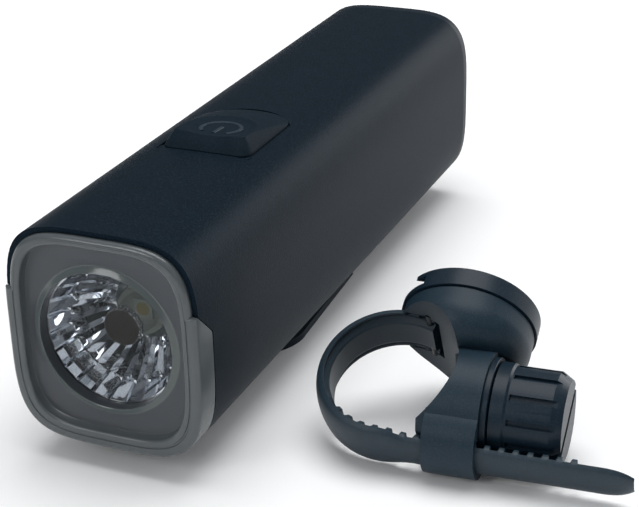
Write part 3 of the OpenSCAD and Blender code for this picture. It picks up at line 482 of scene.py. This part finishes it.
# Ceramic package, sintered: pale grey and matt, with an olive disc of phosphor in its middle.
package = finish("ceramic_package_with_phosphor", "#7c8580", 0.45)
grain(package, 0.2, 0.01, light="#8a938d", rough_by=0.08)
package_tree = package.node_tree
package_shade = package_tree.nodes["Principled BSDF"].inputs["Base Color"]
package_coords = add(package_tree, "ShaderNodeTexCoord")
from_axis = add(package_tree, "ShaderNodeVectorMath", {
    0: package_coords.outputs["Object"], 1: (0.0, 0.0, axis_z * MM)}, operation="SUBTRACT")
in_face = add(package_tree, "ShaderNodeVectorMath", {
    0: from_axis.outputs[0], 1: (1.0, 0.0, 1.0)}, operation="MULTIPLY")
distance = add(package_tree, "ShaderNodeVectorMath", {0: in_face.outputs[0]}, operation="LENGTH")
in_spot = add(package_tree, "ShaderNodeMath", {
    0: distance.outputs["Value"], 1: PHOSPHOR_R * MM}, operation="LESS_THAN")
phosphor = add(package_tree, "ShaderNodeMix", {
    0: in_spot.outputs[0], 6: package_shade.links[0].from_socket, 7: colour("#7f774a")}, data_type="RGBA")
package_tree.links.new(phosphor.outputs[2], package_shade)
dress("led_emitter", package)
# Aluminium board under a printed mask: pale grey-green with a faint sheen.
board_mask = finish("aluminium_core_board_masked", "#8f9a94", 0.4)
dress("led_board", grain(board_mask, 0.9, 0.004, light="#a3aca4", rough_by=0.06))

# Round and behind the lamp: a rubber seal between the lens and the bowl, a cast heat sink, a cradle with
# one lithium cell in a shrink sleeve, and the circuit board with the switch and the button's frame. The
# screws of the rear cap and of the foot hold the cradle in the tube.

# EPDM rubber, moulded: black and dull.
seal_rubber = finish("black_epdm_moulded", "#17191b", 0.75)
dress("lens_seal", grain(seal_rubber, 0.25, 0.02, light="#1e2022", rough_by=0.05))
# Aluminium, die cast: pale metal with a dull skin.
cast = finish("aluminium_die_cast", "#aeb2b6", 0.45, Metallic=1.0)
dress("heat_sink", grain(cast, 0.4, 0.03, light="#bcc0c3", rough_by=0.08))
# ABS, moulded: dark grey, half matt.
grey_abs = finish("grey_abs_moulded", "#2f3337", 0.5)
dress("cell_cradle", grain(grey_abs, 0.5, 0.012, light="#383c40", rough_by=0.05))
# Shrink sleeve, set by heat: blue and glossy over small waves.
sleeve = finish("shrink_sleeve_heat_set", "#23577d", 0.3, Coat_Weight=0.3)
dress("battery_cell", grain(sleeve, 2.5, 0.03, light="#2a648e", rough_by=0.06))
# Glass and epoxy laminate under a printed mask: green with a faint sheen.
laminate = finish("glass_epoxy_laminate_masked", "#1d5a3b", 0.35)
dress("control_board", grain(laminate, 0.6, 0.01, light="#2a6b49", rough_by=0.08))
# Tinned steel, stamped: bright metal.
tinned = finish("tinned_steel_stamped", "#bfc2c5", 0.3, Metallic=1.0)
dress("tact_switch", grain(tinned, 0.3, 0.006, rough_by=0.08))
# Nylon, moulded: dark grey, half matt.
grey_nylon = finish("grey_nylon_moulded", "#292c30", 0.5)
dress("button_frame", grain(grey_nylon, 0.4, 0.012, light="#303438", rough_by=0.05))

# Button: soft silicone, moulded 18 mm wide with a straight sloped front, and held by its flange inside
# the tube. A round dish in its top carries a raised power mark whose gap and stroke face the front, and
# a narrow groove parts it from the tube.
BUTTON_FRONT = 38.4
BUTTON_HALF = 9.0
BUTTON_SIDE = 18.3
BUTTON_ARC = 5.3
BUTTON_H = 2.6
SKIRT = 2.2
GROOVE = 0.25
GROOVE_DEPTH = 0.35
CORNER_FILL = 0.17
CORNER_EASE = 6
CORNER_FROM = 1.5
BEVEL = 2.6
BEVEL_BULGE = 0.2
TOP_HALF = 7.1
TOP_SIDE = 5.4
TOP_EDGE = 0.08
TOP_EDGE_SHARE = 0.06
SLOPE = np.tan(np.radians(4))
DISH_Y = BUTTON_FRONT + 7.9
DISH_R = 6.6
DISH_DEPTH = 0.45
MARK_R = 3.75
MARK_HALF = 0.4
MARK_H = 0.18
MARK_SUNK = 0.3
MARK_GAP = 40


def d_plan(half, front, side, arc, ease_points):
    """D seen from above: straight front and sides and an arc behind. Each point is then the mean of itself
    and its neighbours, so many to each side, which rounds the corners."""
    sweep = np.linspace(0, np.pi, 72, endpoint=False)
    across = np.linspace(-half, half, 40, endpoint=False)
    along = np.linspace(0, side, 40, endpoint=False)
    plan = np.r_[np.c_[across, across * 0],
                 np.c_[along * 0 + half, along],
                 np.c_[half * np.cos(sweep), side + arc * np.sin(sweep)],
                 np.c_[along * 0 - half, side - along]]
    return np.mean([np.roll(plan, k, 0) for k in range(-ease_points, ease_points + 1)], 0) + (0, front)


def tube_top(x):
    """Height of the tube's bulged top over its axis, by the formula of its section."""
    return half_h * (1 - np.abs(x / half_w) ** FULLNESS) ** (1 / FULLNESS)


def button_top(x, y):
    """Height of the sloped top, less the dish, whose floor is nearly flat and whose wall is short."""
    out = np.minimum(1, np.hypot(x, y - DISH_Y) / DISH_R)
    return half_h + BUTTON_H - (y - BUTTON_FRONT - BEVEL) * SLOPE - DISH_DEPTH * (1 - out ** 8)


base = d_plan(BUTTON_HALF, BUTTON_FRONT, BUTTON_SIDE, BUTTON_ARC, 0)
wall = d_plan(BUTTON_HALF - GROOVE, BUTTON_FRONT + GROOVE, BUTTON_SIDE - GROOVE, BUTTON_ARC - GROOVE,
              CORNER_EASE)
top = d_plan(TOP_HALF, BUTTON_FRONT + BEVEL, TOP_SIDE, TOP_HALF, CORNER_EASE)
brow = button_top(*top.T) - TOP_EDGE
wall_foot = tube_top(wall[:, 0])
# The tube's hole has sharp corners, where the gap is over 1.5 grooves wide. There the base fills it level
# with the tube, and elsewhere it lies at the bottom of the groove.
gap = np.hypot(*(base - wall).T)
in_groove = np.minimum(1, (CORNER_FROM * GROOVE / gap) ** 2)
base += (base - wall) * ((1 - in_groove) * CORNER_FILL / gap)[:, None]
ledge = tube_top(base[:, 0]) - GROOVE_DEPTH * in_groove
button_rings = [in_tube(*base.T, ledge - SKIRT),
                in_tube(*base.T, ledge),
                in_tube(*wall.T, wall_foot - GROOVE_DEPTH)]
for share in (0.0, 0.1, 0.3, 0.6, 0.85, 0.95):
    bulge = BEVEL_BULGE * np.sin(np.pi * share) * (1 - share ** 4)
    plan = wall + (top - wall) * share
    button_rings.append(in_tube(*plan.T, wall_foot + (brow - wall_foot) * share + bulge))
dish_middle = np.array([0.0, DISH_Y])
for share in (0.0, 0.03, 0.07, 0.12, 0.18, 0.26, 0.4, 0.6, 0.8, 0.97):
    plan = top + (dish_middle - top) * share
    drop = TOP_EDGE * max(0, 1 - share / TOP_EDGE_SHARE) ** 2
    button_rings.append(in_tube(*plan.T, button_top(*plan.T) - drop))
button = loft("button_cap", button_rings, sharp=32)
# Silicone, moulded: soft black without a sharp highlight. Its specks are finer in life, and are
# drawn at 0.3 mm so that they show.
black_silicone = finish("black_silicone_moulded", "#111c24", 0.6, Specular_IOR_Level=0.05)
grain(black_silicone, 0.3, 0.012, light="#15212a", rough_by=0.05, fleck="#1d2a34")
button.data.materials.append(black_silicone)
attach(button, "button")
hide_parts("power_button")


def raised_line(name, x, y):
    """Bead along a line on the button's top: a half round profile with a sunk foot, carried along it."""
    line = np.c_[x, y]
    ahead = np.gradient(line, axis=0)
    ahead /= np.linalg.norm(ahead, axis=1, keepdims=True)
    across = np.c_[-ahead[:, 1], ahead[:, 0]]
    half_turn = np.linspace(0, np.pi, 9)
    out = np.r_[MARK_HALF * np.cos(half_turn), -MARK_HALF, MARK_HALF]
    up = np.r_[MARK_H * np.sin(half_turn), -MARK_SUNK, -MARK_SUNK]
    plan = line[:, None] + across[:, None] * out[None, :, None]
    line_x, line_y = plan[..., 0], plan[..., 1]
    return loft(name, in_tube(line_x, line_y, button_top(line_x, line_y) + up), sharp=50)


mark_turn = np.radians(np.linspace(MARK_GAP - 90, 270 - MARK_GAP, 97))
power_ring = raised_line("power_ring", MARK_R * np.cos(mark_turn), DISH_Y + MARK_R * np.sin(mark_turn))
power_stroke = raised_line("power_stroke", np.zeros(20), DISH_Y + np.linspace(0.5, -3.4, 20))
# Silicone from a polished part of the mould. The mark's base colour is a little lighter than the dish's:
# painted sheen on the raised mark.
mark_silicone = finish("black_silicone_polished_mark_painted_sheen", "#23303a", 0.4, Specular_IOR_Level=0.15)
grain(mark_silicone, 0.3, 0.006, light="#293641", rough_by=0.04)
for piece in (power_ring, power_stroke):
    piece.data.materials.append(mark_silicone)
    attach(piece, "button")

# Rear end: a nylon cap with its seal closes the tube, on two steel screws. The charging socket looks out
# of it behind a silicone cover that folds down on its own web.
CAP_EDGE = 0.2
# Nylon, moulded in a spark-eroded tool: black and half matt.
black_nylon = finish("black_nylon_moulded", "#121c25", 0.45, Specular_IOR_Level=0.15)
grain(black_nylon, 0.35, 0.015, light="#16222c", rough_by=0.05)
moulded_copy("rear_cap", "light", black_nylon, CAP_EDGE)
# EPDM rubber, moulded as a ring: black and dull.
ring_rubber = finish("black_epdm_ring_moulded", "#17191b", 0.75)
dress("rear_seal", grain(ring_rubber, 0.25, 0.02, light="#1e2022", rough_by=0.05))
# Steel, zinc plated and blackened: dark metal with a soft shine.
zinc_black = finish("steel_screw_black_zinc", "#26292d", 0.35, Metallic=0.9)
dress("rear_screws", grain(zinc_black, 0.4, 0.008, light="#2f3338", rough_by=0.08))
# Stainless steel, drawn: bright metal.
drawn = finish("stainless_steel_drawn", "#b4b7ba", 0.25, Metallic=1.0)
dress("usb_socket", grain(drawn, 0.5, 0.005, rough_by=0.06))

COVER_ROUND = 0.45
COVER_CROWN = 0.2
TAB_HALF = 2.5
TAB_H = 1.4
TAB_PROUD = 0.7
TAB_SUNK = 0.3
TAB_ROUND = 0.3
cover_low, cover_high = [np.array(corner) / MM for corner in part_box("port_cover")]
cover_face = cover_high[1] - TAB_PROUD
cover_half = (cover_high - cover_low) / 2
cover_z = (cover_high[2] + cover_low[2]) / 2


def slab(name, middle_z, half_x, half_z, back, face, edge_round, crown):
    """Rounded block: rings of a square superellipse from its back, in over a quarter round at the face's
    edge and on to the middle, where the face swells by crown. From 1 mm in, rings keep its proportions."""
    turned = np.arange(192) / 192 * 2 * np.pi
    c, s = np.cos(turned), np.sin(turned)
    x = np.sign(c) * np.abs(c) ** 0.2
    z = np.sign(s) * np.abs(s) ** 0.2
    back_round = 0.15
    short = min(half_x, half_z)
    on_face = np.array([0.2, 0.4, 0.6, 0.8, 0.97]) * short
    swell = crown * np.array([0.36, 0.64, 0.84, 0.96, 1.0])
    inset = np.r_[edge_round, back_round, 0, edge_round * (1 - np.cos(quarter)), on_face][:, None]
    y = np.r_[back, back, back + back_round, face - edge_round * (1 - np.sin(quarter)), face + swell][:, None]
    inset_x = np.where(inset < 1, inset, inset * half_x / short)
    ring_x = x * (half_x - inset_x)
    ring_z = middle_z + z * (half_z - inset)
    return loft(name, np.stack(np.broadcast_arrays(ring_x, y, ring_z), -1) * MM, sharp=40)


cover = slab("port_cover_skin", cover_z, cover_half[0], cover_half[2], cover_low[1], cover_face,
             COVER_ROUND, COVER_CROWN)
tab = slab("port_cover_tab", cover_high[2] - TAB_H / 2, TAB_HALF, TAB_H / 2, cover_face - TAB_SUNK,
           cover_high[1], TAB_ROUND, 0.0)
for piece in (cover, tab):
    piece.data.materials.append(black_silicone)
    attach(piece, "port_flap")
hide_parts("port_cover")

# Foot: a rail of the cap's black nylon under the tube, on two screws. Its grooves slide onto the
# bracket's platform.
FOOT_EDGE = 0.2
moulded_copy("mount_foot", "light", black_nylon, FOOT_EDGE)
dress("foot_screws", zinc_black)

# Bracket: mouldings of nylon. A platform turns on a screw and a washer over a cup and a barrel, which
# hold the worm, and a rubber pad lines the side that meets the handlebar.
PLATFORM_EDGE = 0.3
BRACKET_EDGE = 0.25
PAD_EDGE = 0.1
# Nylon filled with glass, moulded: satin, with fine pale fibres near the skin. They are drawn as flecks
# of 0.22 mm, wider than in life, so that they show.
filled_nylon = finish("glass_filled_nylon_moulded", "#182833", 0.42, Specular_IOR_Level=0.22)
grain(filled_nylon, 0.22, 0.05, light="#1e303c", rough_by=0.08, fleck="#2c3b45")
# Nylon from a polished mould: darker, with a clearer sheen along its edges.
smooth_nylon = finish("black_nylon_mould_polished", "#101e29", 0.36, Specular_IOR_Level=0.22)
grain(smooth_nylon, 0.34, 0.02, light="#152531", rough_by=0.08, fleck="#1d2e3a")
moulded_copy("platform", "swivel", smooth_nylon, PLATFORM_EDGE)
# Steel, zinc plated: bright metal with a soft shine.
zinc_bright = finish("steel_screw_zinc_plated", "#9a9ea3", 0.35, Metallic=1.0)
dress("pivot_screw", grain(zinc_bright, 0.4, 0.006, rough_by=0.08))
# Acetal, turned: off-white and waxy.
acetal = finish("acetal_washer_turned", "#d9d6cc", 0.5)
dress("friction_washer", grain(acetal, 0.5, 0.01, light="#e2dfd6", rough_by=0.05))
moulded_copy("bracket_body", "bracket", filled_nylon, BRACKET_EDGE)
# Rubber, moulded: black and dull.
pad_rubber = finish("black_rubber_pad_moulded", "#151b21", 0.65, Specular_IOR_Level=0.3)
grain(pad_rubber, 0.5, 0.03, light="#1b2229", rough_by=0.05)
moulded_copy("bar_pad", "bracket", pad_rubber, PAD_EDGE)

# Strap: moulded in soft polyurethane, 9.8 mm wide round the handlebar and 7.4 mm wide under the worm, flat
# inside and round outside. A smooth tongue between two rims holds the bar, then teeth 2.4 mm apart
# follow. A pin holds its root in the bracket.
BAR_X = -9.8
BAR_Z = -17.8
CLAMP_R = 11.15
ROOT, TEETH_FROM, BOTTOM = np.radians([66, 228, 270])
FOLDS = np.radians([78, 92])
FOLD_R_SQUARED = 0.55
LOOP_W = 9.8
TAIL_W = 7.4
TAIL_END = 33.5
NARROW_FROM = 0.5
NARROW_TO = 6
TIP = 6
TIP_NARROW = 0.5
TIP_THIN = 0.35
TIP_RISE = 0.7
STRAP_T = 2.6
EDGE_T = 1.17
LEAST_T = 0.15
PITCH = 2.4
TOOTH_H = 1.1
TEETH_IN_LOOP = 3.5
TEETH_IN_TAIL = 14.5
TOOTH_FOOT = 0.2
TOOTH_TOP = 0.33
TOOTH_SIDE = 0.9
TONGUE_SHARE = 0.62
TONGUE_TAPER = 5
TONGUE_IN = 0.03
TONGUE_OUT = 0.1
SIDE_RIM_SHARE = 0.3
SIDE_RIM_FROM = 0.8
SIDE_RIM_FULL = 0.9
SIDE_RIM_PAST = 2
joints = {joint["name"]: joint for joint in frame["record"]["behaviour"]["joints"]}
bracket_up = np.array(joints["platform_swivel"]["axis"])
bracket_ahead = np.array(joints["knob_turn"]["axis"])
bracket_side = np.cross(bracket_up, bracket_ahead)
bracket_middle = np.array(joints["platform_swivel"]["pos_m"])


def ease(value, low, high):
    """Smooth step from 0 at low to 1 at high: three times the square less twice the cube of the share."""
    part = np.clip((value - low) / (high - low), 0, 1)
    return part * part * (3 - 2 * part)


# A grid of run, the millimetres along the strap, and over, from one edge at -1 to the other at 1. The path
# is an arc round the bar down to its lowest point, and then straight ahead.
loop_length = CLAMP_R * (BOTTOM - ROOT)
tail_length = TAIL_END - BAR_X
tongue_length = CLAMP_R * (TEETH_FROM - ROOT)
run = np.linspace(0, loop_length + tail_length, 620)[:, None]
over = np.linspace(-1, 1, 33)[None]
strap_angle = np.minimum(ROOT + run / CLAMP_R, BOTTOM)
past_loop = np.maximum(run - loop_length, 0)
to_tip = np.clip((past_loop - (tail_length - TIP)) / TIP, 0, 1)
narrowed = ease(past_loop, NARROW_FROM, NARROW_TO)
strap_half = (LOOP_W + (TAIL_W - LOOP_W) * narrowed) / 2 * (1 - TIP_NARROW * to_tip ** 3)
# The inside is cut back by a tooth's height where there is no tongue, tooth or rim.
tongue_end = ease(run, tongue_length - TONGUE_TAPER, tongue_length)
tongue_half = TONGUE_SHARE * np.sqrt(np.clip(1 - tongue_end ** 2, 0, 1))
outside_tongue = ease(np.abs(over), tongue_half - TONGUE_IN, tongue_half + TONGUE_OUT)
tongue = (1 - outside_tongue) * (run < tongue_length)
at_side = ease(np.abs(over), SIDE_RIM_FROM, SIDE_RIM_FULL)
side_rim = SIDE_RIM_SHARE * at_side * (past_loop < SIDE_RIM_PAST)
beat = np.abs(((run - loop_length) / PITCH) % 1 - 0.5)
toothed = (run > loop_length - TEETH_IN_LOOP * PITCH) & (past_loop < TEETH_IN_TAIL * PITCH)
teeth = ease(beat, TOOTH_FOOT, TOOTH_TOP) * toothed * (1 - ease(np.abs(over), TOOTH_SIDE, 1.0))
inside = TOOTH_H * (1 - np.maximum(np.maximum(tongue, teeth), side_rim)) + TIP_RISE * to_tip ** 2
# The outside is half an ellipse over the edges' thickness, with two folds across it beside the root.
crown_t = STRAP_T * (1 - TIP_THIN * to_tip ** 3)
outside = EDGE_T + (crown_t - EDGE_T) * np.sqrt(1 - over ** 2)
for fold in FOLDS:
    from_fold = (strap_angle - fold) * (CLAMP_R + STRAP_T)
    outside -= np.sqrt(np.clip(FOLD_R_SQUARED - from_fold ** 2, 0, 1)) * (past_loop == 0)
inside = np.minimum(inside, outside - LEAST_T)
strap_r = CLAMP_R + np.concatenate([inside, outside[:, -2:0:-1]], 1)
strap_side = np.concatenate([over * strap_half, (over * strap_half)[:, -2:0:-1]], 1)
strap_x = BAR_X + strap_r * np.cos(strap_angle) + past_loop
strap_z = BAR_Z + strap_r * np.sin(strap_angle)
bracket_axes = np.stack([bracket_ahead, bracket_side, bracket_up])
from_middle = np.stack([strap_x, strap_side, strap_z], -1) @ bracket_axes
strap = loft("toothed_strap", bracket_middle + from_middle * MM, sharp=40)
# Polyurethane, moulded: a softer, greyer black than nylon. Its specks are finer in life, and are
# drawn at 0.22 mm so that they show.
polyurethane = finish("polyurethane_strap_moulded", "#202e38", 0.45, Specular_IOR_Level=0.3)
grain(polyurethane, 0.22, 0.04, light="#273640", rough_by=0.06, fleck="#323f48")
strap.data.materials.append(polyurethane)
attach(strap, "bracket")
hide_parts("strap")
# Steel, black oxide: dark metal with a soft shine.
oxide = finish("steel_pin_black_oxide", "#2a2d31", 0.35, Metallic=0.9)
dress("strap_pin", grain(oxide, 0.3, 0.004, light="#303439", rough_by=0.06))

# Worm and knob: an acetal worm in the barrel pulls the strap's teeth. A nylon ring keeps it in, and a
# knob with twelve grip panels and a coin slot is pressed on it.
KNOB_EDGE = 0.15
moulded_copy("retaining_collar", "bracket", smooth_nylon, KNOB_EDGE)
# Acetal, moulded: grey and waxy.
worm_acetal = finish("grey_acetal_moulded", "#3a4046", 0.45)
dress("worm_screw", grain(worm_acetal, 0.4, 0.01, light="#444a50", rough_by=0.05))
moulded_copy("clamp_knob", "knob", smooth_nylon, KNOB_EDGE)
